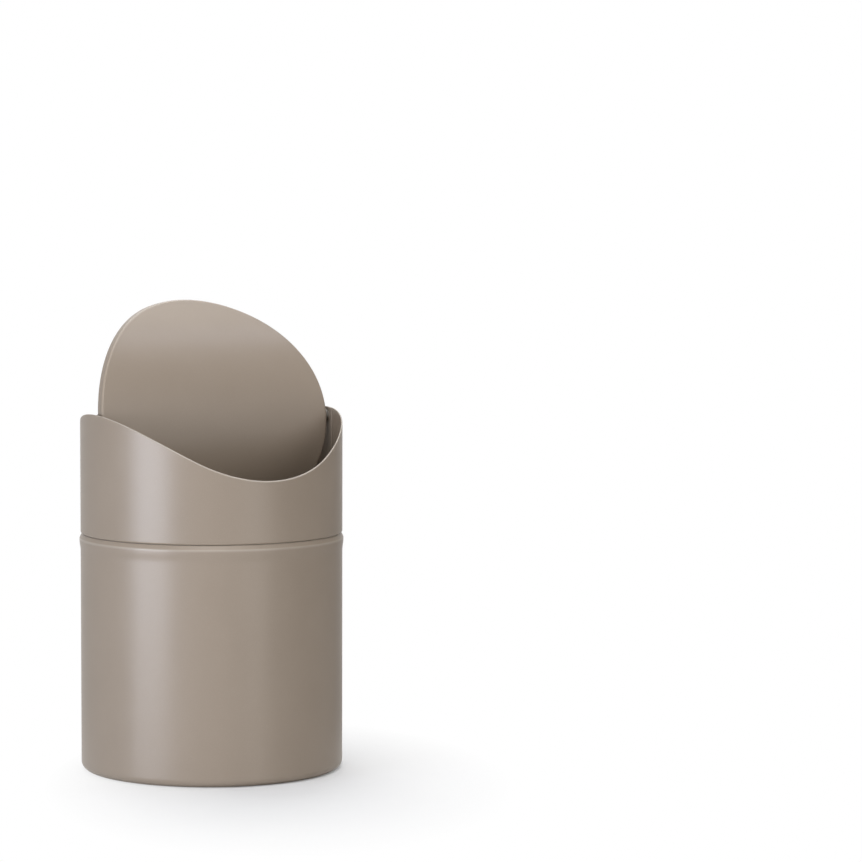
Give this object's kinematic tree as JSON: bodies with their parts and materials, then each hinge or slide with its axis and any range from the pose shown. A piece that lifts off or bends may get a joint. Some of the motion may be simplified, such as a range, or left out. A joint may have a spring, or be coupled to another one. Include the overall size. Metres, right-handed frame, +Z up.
{
  "type": "countertop trash can with swing lid",
  "caption": "Round countertop trash can: a drawn steel bucket, a lift-off hood with a wave-cut rim, and an arched lid that swings on pivots inside the hood.",
  "frame": {"origin": "on the table, on the can's axis", "axes": "+Z up along the can's axis, -Y the front, X along the lid's pivot axis"},
  "size_m": [0.1212, 0.121, 0.2142],
  "materials": {
    "lacquered_steel": "satin champagne lacquer",
    "bare_steel": "plain drawn steel",
    "nylon": "taupe, moulded"
  },
  "bodies": {
    "bucket_base": {"bucket": "lacquered_steel"},
    "hood_assembly": {"hood": "lacquered_steel", "pivot_stud_left": "bare_steel", "pivot_stud_right": "bare_steel", "retaining_cap_left": "bare_steel", "retaining_cap_right": "bare_steel"},
    "lid": {"lid_panel": "lacquered_steel", "pivot_bush_left": "nylon", "pivot_bush_right": "nylon"}
  },
  "joints": [
    {"name": "hood_lift_off", "type": "slide", "parent": "bucket_base", "child": "hood_assembly", "axis": [0, 0, 1], "range_m": [0, 0.04]},
    {"name": "lid_swing", "type": "hinge", "parent": "hood_assembly", "child": "lid", "pos_m": [0, 0, 0.1603], "axis": [1, 0, 0], "range_deg": [-212, 48]}
  ]
}
